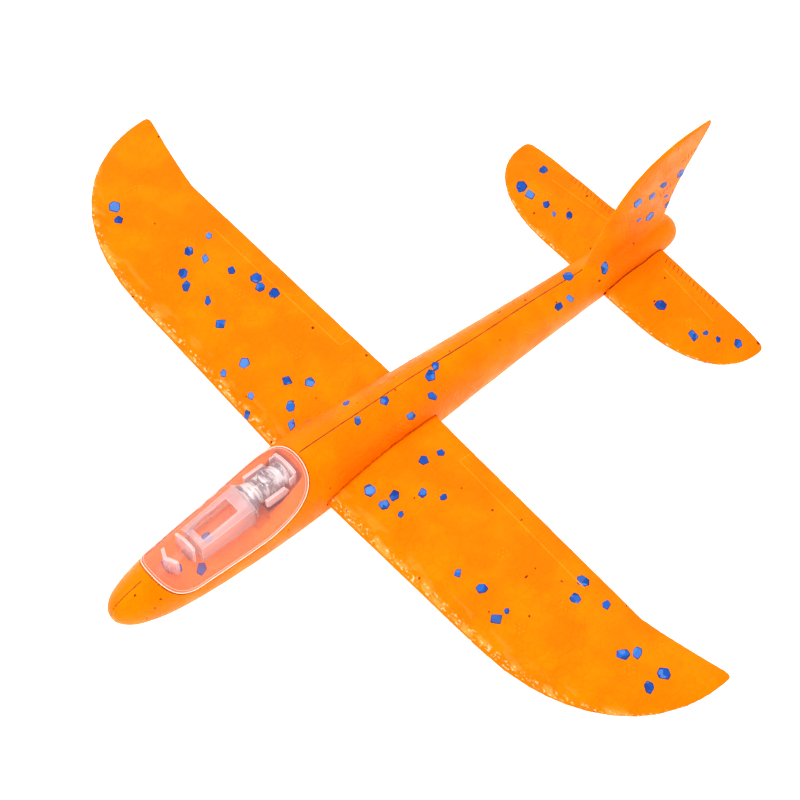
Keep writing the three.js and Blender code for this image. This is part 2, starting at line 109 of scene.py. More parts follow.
SPINE_HEIGHT = 20         # the line that the canopy bulges away from
CANOPY_TOP_FACING = 0.55  # faces that look away from that line more than this are the canopy's top
LIP_ROUNDS = 3
SHARP_ANGLE = 32          # edges over this many degrees are rounded and stay sharp in shading

FLOOR = dict(half=30.0, down=0.0005)
WORLD_STRENGTH = 0.95
# Name, place, width and power, in metres and watts
LIGHTS = [("key", (0.0, -0.35, 2.0), 1.3, 27), ("fill", (1.5, 0.4, 1.4), 1.4, 5)]


# ---------------------------------------------------------------- mesh helpers
def make_object(name, mesh):
    piece = bpy.data.objects.new(name, mesh)
    bpy.context.collection.objects.link(piece)
    return piece


def mesh_from(name, points, faces):
    mesh = bpy.data.meshes.new(name)
    mesh.from_pydata([tuple(p) for p in points], [], faces)
    mesh.validate()
    mesh.update()
    return mesh


def settle_modifiers(piece):
    """Turn what the piece's modifiers make into its own mesh."""
    graph = bpy.context.evaluated_depsgraph_get()
    made = bpy.data.meshes.new_from_object(piece.evaluated_get(graph))
    piece.modifiers.clear()
    old = piece.data
    piece.data = made
    bpy.data.meshes.remove(old)


def read_points(mesh):
    flat = np.zeros(len(mesh.vertices) * 3)
    mesh.vertices.foreach_get("co", flat)
    return flat.reshape(-1, 3)


def write_points(mesh, points):
    mesh.vertices.foreach_set("co", points.ravel())
    mesh.update()


def relax(points, edges, weight, rounds, keep_size=False):
    """Move each point towards the average of its neighbours, and back out again to keep its size."""
    count = np.bincount(edges.ravel(), minlength=len(points)).astype(float)
    count[count == 0] = 1
    steps = (1.0, GROW_BACK) if keep_size else (1.0,)
    for _ in range(rounds):
        for step in steps:
            total = np.zeros_like(points)
            for axis in range(3):
                ahead = np.bincount(edges[:, 0], points[edges[:, 1], axis], len(points))
                behind = np.bincount(edges[:, 1], points[edges[:, 0], axis], len(points))
                total[:, axis] = ahead + behind
            points = points + (total / count[:, None] - points) * weight[:, None] * step
    return points


def smooth_faces(mesh):
    mesh.polygons.foreach_set("use_smooth", [True] * len(mesh.polygons))


class Skin:
    """A surface that small pieces are laid on."""

    def __init__(self, mesh):
        points = [v.co.copy() for v in mesh.vertices]
        self.tree = BVHTree.FromPolygons(points, [tuple(p.vertices) for p in mesh.polygons])

    def hit(self, start, direction):
        place, normal, _, _ = self.tree.ray_cast(Vector(start), Vector(direction).normalized())
        return (place, normal) if place else None

    def above(self, x, y):
        return self.hit((x * MM, y * MM, LOOK_FROM["above"] * MM), (0, 0, -1))

    def below(self, x, y):
        return self.hit((x * MM, y * MM, LOOK_FROM["below"] * MM), (0, 0, 1))

    def nearest(self, point):
        place, normal, _, _ = self.tree.find_nearest(point)
        return place, normal


class Builder:
    """Collects closed small bodies laid on a skin into one mesh, with a painted rim shade and a tone per
    point.
    """

    def __init__(self, skin):
        self.skin = skin
        self.points = []
        self.faces = []
        self.rim_shade = []
        self.tone = []

    def add_rings(self, rings, rim_shades, closed_top):
        """Rings of equal length, outermost first, closed at the end by one middle point."""
        first = len(self.points)
        size = len(rings[0])
        for ring, rim_shade in zip(rings, rim_shades):
            self.points.extend(ring)
            self.rim_shade.extend(rim_shade)
        for k in range(len(rings) - 1):
            for i in range(size):
                j = (i + 1) % size
                a = first + k * size
                self.faces.append((a + i, a + j, a + size + j, a + size + i))
        last = first + (len(rings) - 1) * size
        self.points.append(closed_top)
        self.rim_shade.append(0.0)
        middle = len(self.points) - 1
        for i in range(size):
            self.faces.append((last + i, last + (i + 1) % size, middle))
        return first, size

    def bead(self, rng, place, normal, size, corners=None, rise=1.0):
        """A flattened bead: an irregular polygon with soft corners that bulges slightly."""
        corners = corners or rng.choice([4, 5, 5, 6, 6])
        across = normal.orthogonal().normalized()
        along = normal.cross(across)
        turn = rng.uniform(0, 2 * math.pi)
        stretch = rng.uniform(0.6, 0.95)
        shade_side = rng.uniform(0, 2 * math.pi)
        spots = []
        for k in range(corners):
            angle = turn + 2 * math.pi * (k + rng.uniform(-0.22, 0.22)) / corners
            reach = size / 2 * rng.uniform(0.88, 1.12)
            spots.append(Vector((math.cos(angle) * reach, math.sin(angle) * reach * stretch)))
        outline = []
        for k in range(corners):
            here, after = spots[k], spots[(k + 1) % corners]
            for share in (0.1, 0.37, 0.63, 0.9):
                outline.append(here.lerp(after, share))
        levels = ((1.0, -0.12, 1.0), (0.97, 0.05, 1.0), (0.86, 0.13, 0.9), (0.76, 0.16, 0.0),
                  (0.5, 0.2, 0.0), (0.25, 0.22, 0.0))
        tilt = Vector((rng.uniform(-0.02, 0.02), rng.uniform(-0.02, 0.02)))
        rings = []
        for scale, height, _ in levels:
            ring = []
            for spot in outline:
                flat = spot * scale
                start = place + (across * flat.x + along * flat.y) * MM
                ground, up = self.skin.nearest(start)
                lift = rise * (height + (tilt.dot(flat) if height > 0.1 else 0))
                ring.append(ground + up * lift * MM)
            rings.append(ring)
        ground, up = self.skin.nearest(place)
        # Painted shade along the bead's rim, darker towards one random side.
        facing = [0.5 + 0.5 * math.cos(math.atan2(spot.y, spot.x) - shade_side) for spot in outline]
        rim_shades = [[level[2] * (0.5 + 0.5 * share) for share in facing] for level in levels]
        first, count = self.add_rings(rings, rim_shades, ground + up * 0.22 * rise * MM)
        under = len(self.points)
        self.points.append(place - normal * 0.5 * MM)
        self.rim_shade.append(1.0)
        self.tone.extend([rng.random()] * (len(self.points) - len(self.tone)))
        for i in range(count):
            self.faces.append((first + (i + 1) % count, first + i, under))

    def sweep(self, path, width, height, closed=False, sink=0.25):
        """A low rib along points of the skin. width and height may be functions of the index."""
        size = 6
        first = len(self.points)
        n = len(path)
        for i, (place, up) in enumerate(path):
            before = path[(i - 1) % n][0] if closed or i > 0 else place
            after = path[(i + 1) % n][0] if closed or i < n - 1 else place
            along = (after - before).normalized()
            side = up.cross(along).normalized()
            w = width(i) if callable(width) else width
            h = height(i) if callable(height) else height
            profile = ((-0.5, -sink), (-0.5, h * 0.25), (-0.22, h), (0.22, h), (0.5, h * 0.25),
                       (0.5, -sink))
            for across, lift in profile:
                self.points.append(place + side * across * w * MM + up * lift * MM)
                self.rim_shade.append(1.0)
        for i in range(n if closed else n - 1):
            a = first + i * size
            b = first + ((i + 1) % n) * size
            for k in range(size):
                m = (k + 1) % size
                self.faces.append((a + k, b + k, b + m, a + m))
        if not closed:
            self.faces.append(tuple(first + k for k in range(size)))
            self.faces.append(tuple(first + (n - 1) * size + k for k in reversed(range(size))))

    def build(self, name, material):
        mesh = mesh_from(name, self.points, self.faces)
        work = bmesh.new()
        work.from_mesh(mesh)
        bmesh.ops.recalc_face_normals(work, faces=work.faces)
        work.to_mesh(mesh)
        work.free()
        layer = mesh.attributes.new("rim_shade", "FLOAT", "POINT")
        layer.data.foreach_set("value", self.rim_shade)
        layer = mesh.attributes.new("tone", "FLOAT", "POINT")
        layer.data.foreach_set("value", self.tone + [0.5] * (len(self.points) - len(self.tone)))
        smooth_faces(mesh)
        mesh.materials.append(material)
        return make_object(name, mesh)


# ---------------------------------------------------------------- material helpers
class Material:
    """A node material with short calls for the few nodes that it needs."""

    def __init__(self, name, roughness=0.5, specular=0.5, **sockets):
        self.material = bpy.data.materials.new(name)
        self.material.use_nodes = True
        self.nodes = self.material.node_tree.nodes
        self.links = self.material.node_tree.links
        self.shader = self.nodes["Principled BSDF"]
        self.set("Roughness", roughness)
        self.set("Specular IOR Level", specular)
        for socket, value in sockets.items():
            self.set(socket.replace("_", " "), value)
        place = self.nodes.new("ShaderNodeTexCoord")
        self.place = place.outputs["Object"]

    def set(self, socket, value):
        if isinstance(value, bpy.types.NodeSocket):
            self.links.new(value, self.shader.inputs[socket])
        else:
            self.shader.inputs[socket].default_value = value

    def feed(self, node, socket, value):
        if isinstance(value, bpy.types.NodeSocket):
            self.links.new(value, node.inputs[socket])
        else:
            node.inputs[socket].default_value = value

    def noise(self, scale, detail=2.0, stretch=None):
        node = self.nodes.new("ShaderNodeTexNoise")
        node.inputs["Scale"].default_value = scale
        node.inputs["Detail"].default_value = detail
        source = self.place
        if stretch:
            mapping = self.nodes.new("ShaderNodeMapping")
            mapping.inputs["Scale"].default_value = stretch
            self.links.new(self.place, mapping.inputs["Vector"])
            source = mapping.outputs["Vector"]
        self.links.new(source, node.inputs["Vector"])
        return node.outputs["Fac"]

    def cells(self, scale, feature="F1", warp=0.0):
        node = self.nodes.new("ShaderNodeTexVoronoi")
        node.feature = feature
        node.inputs["Scale"].default_value = scale
        source = self.place
        if warp:
            wobble = self.nodes.new("ShaderNodeTexNoise")
            wobble.inputs["Scale"].default_value = scale * 1.6
            self.links.new(self.place, wobble.inputs["Vector"])
            shift = self.nodes.new("ShaderNodeVectorMath")
            shift.operation = "MULTIPLY_ADD"
            shift.inputs[1].default_value = (warp, warp, warp)
            self.links.new(wobble.outputs["Color"], shift.inputs[0])
            self.links.new(self.place, shift.inputs[2])
            source = shift.outputs[0]
        self.links.new(source, node.inputs["Vector"])
        return node.outputs

    def band(self, value, low, high, start=0.0, end=1.0):
        """value from low to high becomes start to end, held at both ends."""
        node = self.nodes.new("ShaderNodeMapRange")
        node.interpolation_type = "SMOOTHSTEP"
        self.feed(node, "Value", value)
        limits = (("From Min", low), ("From Max", high), ("To Min", start), ("To Max", end))
        for socket, number in limits:
            node.inputs[socket].default_value = number
        return node.outputs["Result"]

    def math(self, kind, a, b=0.0):
        node = self.nodes.new("ShaderNodeMath")
        node.operation = kind
        self.feed(node, 0, a)
        self.feed(node, 1, b)
        return node.outputs[0]

    def mix(self, share, a, b):
        node = self.nodes.new("ShaderNodeMix")
        node.data_type = "RGBA"
        for index, value in ((0, share), (6, a), (7, b)):
            self.feed(node, index, value)
        return node.outputs[2]

    def bump(self, height, strength, distance):
        node = self.nodes.new("ShaderNodeBump")
        node.inputs["Strength"].default_value = strength
        node.inputs["Distance"].default_value = distance
        self.links.new(height, node.inputs["Height"])
        return node.outputs["Normal"]

    def attribute(self, name):
        node = self.nodes.new("ShaderNodeAttribute")
        node.attribute_name = name
        return node.outputs["Fac"]


# ---------------------------------------------------------------- materials
def foam_material(name, deep, light):
    """Expanded foam: beads with faint joins, mottled tone, painted shade in the pits and the lamp pocket,
    and painted highlights on the wrinkled leading edge.
    """
    m = Material(name, roughness=0.5, specular=0.14, Specular_Tint=(1.0, 0.40, 0.03, 1))
    per_bead = m.cells(1 / (BEAD_CELL * MM))
    tone = m.nodes.new("ShaderNodeSeparateColor")
    m.links.new(per_bead["Color"], tone.inputs[0])
    colour = m.mix(m.band(m.noise(42, 4), 0.36, 0.64), deep, light)
    colour = m.mix(m.band(tone.outputs[0], 0, 1, 0, 0.35), colour, deep)
    joins = m.cells(1 / (BEAD_CELL * MM), "DISTANCE_TO_EDGE")["Distance"]
    join = m.band(joins, 0.0, 0.05, 1, 0)
    worn = m.band(m.noise(60, 2), 0.45, 0.65)
    colour = m.mix(m.math("MULTIPLY", m.math("MULTIPLY", join, worn), 0.18), colour, (0.66, 0.085, 0.0, 1))
    # Painted highlight: pale patches and near-white flecks where the wrinkled leading edge catches the
    # light.
    crinkle_sheen = m.band(m.noise(230, 3, stretch=(1, 0.35, 1)), 0.50, 0.62, 0, 0.8)
    lead = m.attribute("lead")
    colour = m.mix(m.math("MULTIPLY", lead, crinkle_sheen), colour, (1.0, 0.36, 0.06, 1))
    crinkle_glints = m.band(m.noise(820, 3, stretch=(1, 0.5, 1)), 0.55, 0.66, 0, 0.85)
    crinkle_glints = m.math("MULTIPLY", crinkle_glints, m.band(lead, 0.3, 0.8))
    colour = m.mix(crinkle_glints, colour, (1.0, 0.62, 0.30, 1))
    # Painted shade: the pits and the lamp's pocket are darkened here.
    pit_and_pocket_shade = m.band(m.attribute("pit_and_pocket_shade"), 0.2, 0.55)
    colour = m.mix(m.math("MULTIPLY", pit_and_pocket_shade, 0.95), colour, (0.16, 0.010, 0.002, 1))
    m.set("Base Color", colour)
    grain = m.noise(900, 3)
    m.set("Roughness", m.band(m.noise(120, 3), 0.3, 0.7, 0.34, 0.56))
    height = m.math("ADD", m.band(joins, 0.0, 0.09), m.math("MULTIPLY", grain, 0.25))
    height = m.math("ADD", height, m.math("MULTIPLY", m.noise(150, 2), 1.2))
    m.set("Normal", m.bump(height, 0.5, 0.0003))
    return m.material


def shade_material(name, colour, dark):
    """Painted shade in a thin line or slit in the foam: deeper orange with uneven tone."""
    m = Material(name, roughness=0.6, specular=0.2)
    m.set("Base Color", m.mix(m.band(m.noise(260, 3), 0.35, 0.65), colour, dark))
    m.set("Normal", m.bump(m.noise(700, 2), 0.3, 0.0002))
    return m.material


def bead_material():
    """Blue beads: each with its own tone, facets with painted shade and highlight, and a painted shade along
    the rim, darker on one side.
    """
    m = Material("blue_bead", roughness=0.42, specular=0.25, Specular_Tint=(0.3, 0.5, 1.0, 1))
    facets = m.cells(240, warp=0.001)
    chance = m.nodes.new("ShaderNodeSeparateColor")
    m.links.new(facets["Color"], chance.inputs[0])
    tone = m.attribute("tone")
    colour = m.mix(m.band(tone, 0.0, 0.7), (0.004, 0.055, 0.33, 1), (0.010, 0.110, 0.50, 1))
    colour = m.mix(m.band(tone, 0.75, 0.9), colour, (0.06, 0.20, 0.58, 1))
    # Painted shade and highlight: darker and lighter facets stand in for light on the bead's slightly tilted
    # faces.
    colour = m.mix(m.band(chance.outputs[0], 0.55, 0.75, 0, 0.65), colour, (0.003, 0.024, 0.17, 1))
    colour = m.mix(m.band(chance.outputs[1], 0.7, 0.85, 0, 0.5), colour, (0.10, 0.26, 0.68, 1))
    # Painted shade: a dark rim round each bead, deeper on one side.
    rim_shade = m.band(m.attribute("rim_shade"), 0.25, 0.75, 0, 0.9)
    colour = m.mix(rim_shade, colour, (0.012, 0.010, 0.075, 1))
    m.set("Base Color", colour)
    m.set("Normal", m.bump(m.math("ADD", facets["Distance"], m.noise(700, 2)), 0.35, 0.0003))
    return m.material


def frosted_material(name, base, tint, alpha, roughness):
    """Frosted plastic: part of what is behind shows through a pale veil."""
    m = Material(name, roughness=roughness, specular=0.5, Coat_Weight=0.3, Coat_Roughness=0.12)
    m.set("Alpha", alpha)
    m.set("Base Color", m.mix(m.band(m.noise(24, 3), 0.3, 0.7), base, tint))
    m.set("Normal", m.bump(m.noise(1500, 2), 0.12, 0.0001))
    return m.material


def clear_material(name):
    """Clear plastic over bright metal: a pale silver veil with painted reflections in darker streaks across
    it.
    """
    m = Material(name, roughness=0.08, specular=0.6, Coat_Weight=0.6, Coat_Roughness=0.04)
    m.set("Alpha", 0.5)
    # Painted reflection: white and dark bands along the clear plastic.
    painted_reflection_bands = m.band(m.noise(170, 3, stretch=(2.2, 0.6, 0.6)), 0.42, 0.58)
    m.set("Base Color", m.mix(painted_reflection_bands, (0.24, 0.23, 0.27, 1), (1.0, 1.0, 1.0, 1)))
    m.set("Normal", m.bump(m.noise(420, 2), 0.1, 0.0001))
    return m.material


def metal_material(name, light, dark, roughness, scale):
    """Plated metal with fine turning marks and uneven gloss."""
    m = Material(name, roughness=roughness, specular=0.5, Metallic=1.0)
    m.set("Base Color", m.mix(m.band(m.noise(scale, 3), 0.35, 0.65), light, dark))
    m.set("Roughness", m.band(m.noise(scale * 2, 3), 0.3, 0.7, roughness * 0.7, roughness * 1.3))
    m.set("Normal", m.bump(m.noise(scale * 6, 2, stretch=(6, 1, 1)), 0.15, 0.00005))
    return m.material


def board_material():
    """Green circuit board with paler tracks."""
    m = Material("lamp_board_green", roughness=0.35, specular=0.5, Coat_Weight=0.4)
    tracks = m.cells(900, "DISTANCE_TO_EDGE")["Distance"]
    m.set("Base Color", m.mix(m.band(tracks, 0.04, 0.08), (0.05, 0.22, 0.10, 1), (0.01, 0.10, 0.04, 1)))
    m.set("Normal", m.bump(tracks, 0.2, 0.0001))
    return m.material


def floor_material():
    """White card that glows a little, so that it reads as pure white."""
    m = Material("studio_floor", roughness=0.9, specular=0.05)
    m.set("Base Color", m.mix(m.noise(3, 2), (0.90, 0.90, 0.90, 1), (0.93, 0.93, 0.93, 1)))
    m.set("Emission Color", (1, 1, 1, 1))
    m.set("Emission Strength", 0.8)
    return m.material


FOAM = foam_material("orange_foam", (0.88, 0.158, 0.0, 1), (0.94, 0.200, 0.0, 1))
# A lighter copy of the foam for the raised ridges and vent dots: painted highlight where they catch the
# light.
MARK_HIGHLIGHT = foam_material("orange_foam_mould_mark_painted_highlight", (0.94, 0.22, 0.002, 1), (0.98, 0.275, 0.008, 1))
BLUE = bead_material()
# Painted shade: the dark seam, the canopy's seat line and the dark vent slits stand in for shade in them.
SEAM_SHADOW = shade_material("seam_shadow", (0.30, 0.035, 0.0, 1), (0.10, 0.010, 0.0, 1))
SLIT_SHADOW = shade_material("vent_slit_shadow", (0.62, 0.085, 0.0, 1), (0.40, 0.045, 0.0, 1))
# Painted shadow in the gap where a wing enters the fuselage.
ROOT_GAP_SHADOW = shade_material("root_gap_shadow", (0.26, 0.022, 0.0, 1), (0.07, 0.006, 0.0, 1))
# Painted light: the canopy's pink tint stands in for orange light from the foam scattered in the frosted
# shell.
CANOPY = frosted_material("canopy_frost", (0.84, 0.38, 0.40, 1), (0.90, 0.44, 0.46, 1), 0.10, 0.2)
RIM = frosted_material("canopy_lip_cream", (0.86, 0.74, 0.56, 1), (0.90, 0.78, 0.62, 1), 0.95, 0.3)
LINE = frosted_material("canopy_inner_line_cream", (0.95, 0.60, 0.48, 1), (1.0, 0.66, 0.54, 1), 0.5, 0.3)
INNER = frosted_material("inner_frost", (0.82, 0.58, 0.58, 1), (0.88, 0.64, 0.64, 1), 0.33, 0.3)
CLIP = frosted_material("clip_frost", (0.88, 0.66, 0.65, 1), (0.94, 0.72, 0.70, 1), 0.62, 0.3)
# Painted highlight: the bright edges of the frosted and clear parts.
EDGE_HIGHLIGHT = frosted_material("inner_edge_painted_highlight", (0.95, 0.83, 0.80, 1), (1.0, 0.88, 0.84, 1), 0.85, 0.25)
# Painted shade: the dark lines at the lamp's edges and grooves.
GROOVE_SHADE = frosted_material("lamp_edge_painted_shade", (0.16, 0.15, 0.19, 1), (0.30, 0.28, 0.33, 1), 0.75, 0.25)
CLEAR = clear_material("lamp_clear")
NICKEL = metal_material("cell_nickel", (0.92, 0.91, 0.93, 1), (0.62, 0.61, 0.64, 1), 0.25, 160)
STEEL = metal_material("weight_steel_grey", (0.45, 0.45, 0.47, 1), (0.30, 0.30, 0.32, 1), 0.4, 120)
BRASS = metal_material("contact_brass_gold", (0.62, 0.46, 0.18, 1), (0.44, 0.31, 0.11, 1), 0.3, 140)
BOARD = board_material()


# ---------------------------------------------------------------- foam skins
def rebuilt(name, node, stretch):
    """A copy of a CAD solid on an even grid, with its edges softened."""
    piece = make_object(name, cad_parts[node].data.copy())
    write_points(piece.data, read_points(piece.data) * stretch)
    grid = piece.modifiers.new("grid", "REMESH")
    grid.mode = "VOXEL"
    grid.voxel_size = FOAM_VOXEL * MM
    settle_modifiers(piece)
    mesh = piece.data
    edges = np.zeros(len(mesh.edges) * 2, np.int64)
    mesh.edges.foreach_get("vertices", edges)
    edges = edges.reshape(-1, 2)
    points = read_points(mesh)
    even = np.full(len(points), 0.5)
    points = relax(points, edges, even, FIRST_ROUNDS)
    points = relax(points, edges, even, FOAM_ROUNDS, True)
    write_points(mesh, points / stretch)
    return piece, edges


def kept_clear(places, normals, push, is_wing):
    """Sink the foam a little where a wing slides in its slot, so that the two never touch."""
    x, y, z = places.T
    across = np.abs(y)
    in_wing = (x > 0) & (across < SLOT_ROOT["wing"])
    in_tail = (x < 0) & (across < SLOT_ROOT["tail"])
    inside = in_wing | in_tail
    if not is_wing:
        walls = SLOT_WALLS
        inside &= np.abs(normals[:, 2]) > walls["level"]
        inside &= (z > walls["lowest"]) & (z < walls["highest"])
        wing_walls = (x < walls["wing_front"]) & (z > walls["wing_low"])
        tail_walls = (x < walls["tail_front"]) & (z < walls["tail_high"])
        inside &= np.where(x > 0, wing_walls, tail_walls)
    return np.where(inside, -SLOT_CLEAR, push)


def textured(piece, seed, pit_count, edge_lead=False):
    """Sink the joins between beads, add slow waves and small pits, and wrinkle a leading edge; mark the pits
    and the lamp pocket for painted shade, and the leading edge for painted highlights.
    """
    mesh = piece.data
    mesh.update()
    points = read_points(mesh)
    normals = np.zeros(len(mesh.vertices) * 3)
    mesh.vertices.foreach_get("normal", normals)
    normals = normals.reshape(-1, 3)
    push = np.zeros(len(points))
    for i, point in enumerate(points):
        place = Vector(point) / MM
        apart = noise.voronoi(place / BEAD_CELL)[0]
        join = max(0.0, 1 - (apart[1] - apart[0]) / 0.16)
        push[i] = WAVE_DEPTH * noise.noise(place / 15) - CREASE_DEPTH * join
        folded = max(0.0, 1 - abs(normals[i][0] - 0.45) / 0.3) * edge_lead
        if folded:
            folds = noise.noise(Vector((place.x, place.y / 2.4, place.z / 1.2)))
            push[i] += CRINKLE_DEPTH * folds * folded
    push = kept_clear(points / MM, normals, push, edge_lead)
    pits = np.zeros(len(points))
    rng = random.Random(seed)
    for _ in range(pit_count):
        centre = points[rng.randrange(len(points))]
        size = rng.uniform(0.28, 0.8) * MM
        turn = rng.uniform(0, math.pi)
        stretch = np.array((math.cos(turn), math.sin(turn), 0)) * rng.uniform(0, 0.7)
        away = points - centre
        away = away - np.outer(away @ stretch, stretch)
        reach = np.linalg.norm(away, axis=1) / size
        pits = np.maximum(pits, np.clip(1.5 - reach, 0, 1))
    push -= 0.35 * pits
    write_points(mesh, points + normals * push[:, None] * MM)
    # Painted shade: the pits and the part of the lamp pocket in deep shade are marked to be painted dark.
    x, y, z = points.T / MM
    shade = (x > POCKET["rear"]) & (x < POCKET["front"]) & (z > POCKET["low"]) & (z < POCKET["high"])
    shade &= np.abs(y - POCKET["aside"]) < POCKET["half"]
    values = np.maximum(pits, shade)
    layer = mesh.attributes.new("pit_and_pocket_shade", "FLOAT", "POINT")
    layer.data.foreach_set("value", values)
    # Where the leading edge faces forward, for its painted highlights.
    lead = np.clip(1 - np.abs(normals[:, 0] - 0.42) / 0.3, 0, 1) * edge_lead
    layer = mesh.attributes.new("lead", "FLOAT", "POINT")
    layer.data.foreach_set("value", lead)


def foam_wing(name, node, body, seed):
    """The skin of a wing or tailplane, wrinkled along its leading edge."""
    piece, _ = rebuilt(name, node, WING_STRETCH)
    textured(piece, seed, PITS[node], edge_lead=True)
    return finish_foam(piece, node, body)


def foam_fuselage(name, node, body):
    """The skin of the fuselage and fin, with the corner between them rounded."""
    piece, edges = rebuilt(name, node, BODY_STRETCH)
    points = read_points(piece.data)
    x, y, z = points.T / MM
    root = np.interp(x, FIN_ROOT["x"], FIN_ROOT["z"])
    near = np.clip(1 - np.abs(z - root) / FIN_FILLET["reach"], 0, 1)
    inside = (x > FIN_FILLET["rear"]) & (x < FIN_FILLET["front"]) & (np.abs(y) < FIN_FILLET["half"])
    weight = np.where(inside, near, 0) ** 0.5 * FIN_FILLET["pull"]
    points = relax(points, edges, weight, FIN_FILLET["rounds"])
    write_points(piece.data, points)
    textured(piece, 30, PITS[node])
    return finish_foam(piece, node, body)


def finish_foam(piece, node, body):
    """Give a foam skin its material and let it stand in for its CAD solid."""
    smooth_faces(piece.data)
    piece.data.materials.clear()
    piece.data.materials.append(FOAM)
    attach(piece, body)
    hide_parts(node)
    return piece


fuselage = foam_fuselage("fuselage_foam_skin", "fuselage", "airframe")
wing = foam_wing("wing_foam_skin", "wing", "wing", 45)
tail = foam_wing("tailplane_foam_skin", "tailplane", "tailplane", 50)
BODY_SKIN = Skin(fuselage.data)
WING_SKIN = Skin(wing.data)
TAIL_SKIN = Skin(tail.data)


# ---------------------------------------------------------------- blue beads
def settle(piece, body):
    """Let a piece move with its body."""
    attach(piece, body)


def lay_beads(name, skin, spots, body, seed):
    """Blue beads on a skin. spots are (place, normal, size)."""
    rng = random.Random(seed)
    made = Builder(skin)
    for place, normal, size in spots:
        made.bead(rng, place, normal, size * BEAD_GROW)
    settle(made.build(name, BLUE), body)


def bead_size(rng):
    """Most beads are of one size, and a few are small."""
    return rng.uniform(5.8, 8) if rng.random() < 0.88 else rng.uniform(3.4, 5)


def scatter(rng, look, count):
    """count beads where look() finds foam, none of them on top of another."""
    out = []
    for _ in range(count * 40):
        found = look()
        if found and all((found[0] - other[0]).length > BEADS_APART * MM for other in out):
            out.append((*found, bead_size(rng)))
        if len(out) == count:
            break
    return out


def grouped_top(skin, seed, groups):
    """Loose groups of beads on the top of a wing."""
    rng = random.Random(seed)
    out = []
    for x, y, along, across, count in groups:
        def on_top():
            ahead = x + rng.uniform(-along, along)
            return skin.above(ahead, y + rng.uniform(-across, across))
        out += scatter(rng, on_top, count)
    return out


def outward(turn):
    """Straight out from the fuselage, turned from port upwards."""
    return Vector((0, math.cos(turn), math.sin(turn)))


def round_body(skin, x, away):
    """Where a line from outside towards the fuselage's axis meets its skin."""
    return skin.hit(Vector((x, 0, BODY_AXIS)) * MM + away * LOOK_FROM["round"] * MM, -away)


def body_spots(skin, seed):
    """Beads on the fuselage's top and port side, in the canopy's bay and on the fin's port face."""
    rng = random.Random(seed)
    out = []
    for x, turn, along, sweep, count in BODY_GROUPS:
        def on_body():
            place = x + rng.uniform(-along, along)
            away = outward(math.radians(turn + rng.uniform(-sweep, sweep)))
            return round_body(skin, place, away)
        out += scatter(rng, on_body, count)

    def in_bay():
        half = BAY_BEADS["half"]
        place = rng.uniform(BAY_BEADS["rear"], BAY_BEADS["front"])
        return skin.above(place, rng.uniform(-half, half))

    def on_fin():
        x = rng.uniform(FIN_BEADS["rear"], FIN_BEADS["front"])
        z = rng.uniform(FIN_BEADS["low"], FIN_BEADS["high"])
        return skin.hit(Vector((x, LOOK_FROM["aside"], z)) * MM, (0, -1, 0))

    out += scatter(rng, in_bay, BAY_BEADS["count"])
    out += scatter(rng, on_fin, FIN_BEADS["count"])
    return out


def seeded_below(skin, seed, count, x_range, half_span):
    """Beads scattered on the underside, a few of them in pairs as on the top."""
    rng = random.Random(seed)
    out = []
    while len(out) < count:
        x = rng.uniform(*x_range)
        y = rng.uniform(-half_span, half_span)
        for _ in range(rng.choice([1, 1, 2])):
            found = skin.below(x, y)
            if found and found[1].z < -0.8:
                out.append((*found, rng.uniform(4.5, 8)))
            x += rng.uniform(-PAIR_SPREAD, PAIR_SPREAD)
            y += rng.uniform(-PAIR_SPREAD, PAIR_SPREAD)
    return out


def seeded_round(skin, seed, count):
    """Beads on the fuselage's starboard side and belly, and the fin's starboard face."""
    rng = random.Random(seed)
    out = []
    while len(out) < count:
        if rng.random() < 0.25:
            start = Vector((rng.uniform(-205, -140), -LOOK_FROM["aside"], rng.uniform(26, 70))) * MM
            aim = Vector((0, 1, 0))
        else:
            away = outward(math.radians(rng.uniform(-200, -30)))
            middle = Vector((rng.uniform(-180, 195), 0, BODY_AXIS)) * MM
            start = middle + away * LOOK_FROM["round"] * MM
            aim = -away
        found = skin.hit(start, aim)
        if found and found[1].dot(-aim) > 0.5 and abs(found[0].y) < 0.03:
            out.append((*found, rng.uniform(4.5, 8)))
    return out


lay_beads("wing_blue_beads", WING_SKIN,
          grouped_top(WING_SKIN, 21, WING_GROUPS)
          + seeded_below(WING_SKIN, 5, HIDDEN_WING_BEADS, (8, 82), 225),
          "wing", 11)
lay_beads("tailplane_blue_beads", TAIL_SKIN,
          grouped_top(TAIL_SKIN, 22, TAIL_GROUPS)
          + seeded_below(TAIL_SKIN, 6, HIDDEN_TAIL_BEADS, (-172, -132), 88),
          "tailplane", 12)
lay_beads("fuselage_blue_beads", BODY_SKIN,
          body_spots(BODY_SKIN, 23) + seeded_round(BODY_SKIN, 7, HIDDEN_BODY_BEADS),
          "airframe", 13)


# ---------------------------------------------------------------- mould marks
def walk(corners, step):
    """Points every step along straight stretches between corners."""
    out = []
    for (x0, y0), (x1, y1) in zip(corners, corners[1:]):
        count = max(2, round(math.hypot(x1 - x0, y1 - y0) / step))
        for i in range(count):
            out.append((x0 + (x1 - x0) * i / count, y0 + (y1 - y0) * i / count))
    out.append(corners[-1])
    return out


def ridge_lines(made, skin, ridges, side):
    """Fine raised lines on both faces of a wing."""
    for corners in ridges:
        path = [skin.above(x, y * side) for x, y in walk(corners, 1.5)]
        under = [skin.below(x, y * side) for x, y in walk(corners, 1.5)]
        for line in (path, under):
            line = [spot for spot in line if spot]
            if len(line) > 2:
                made.sweep(line, 0.9, 0.22)


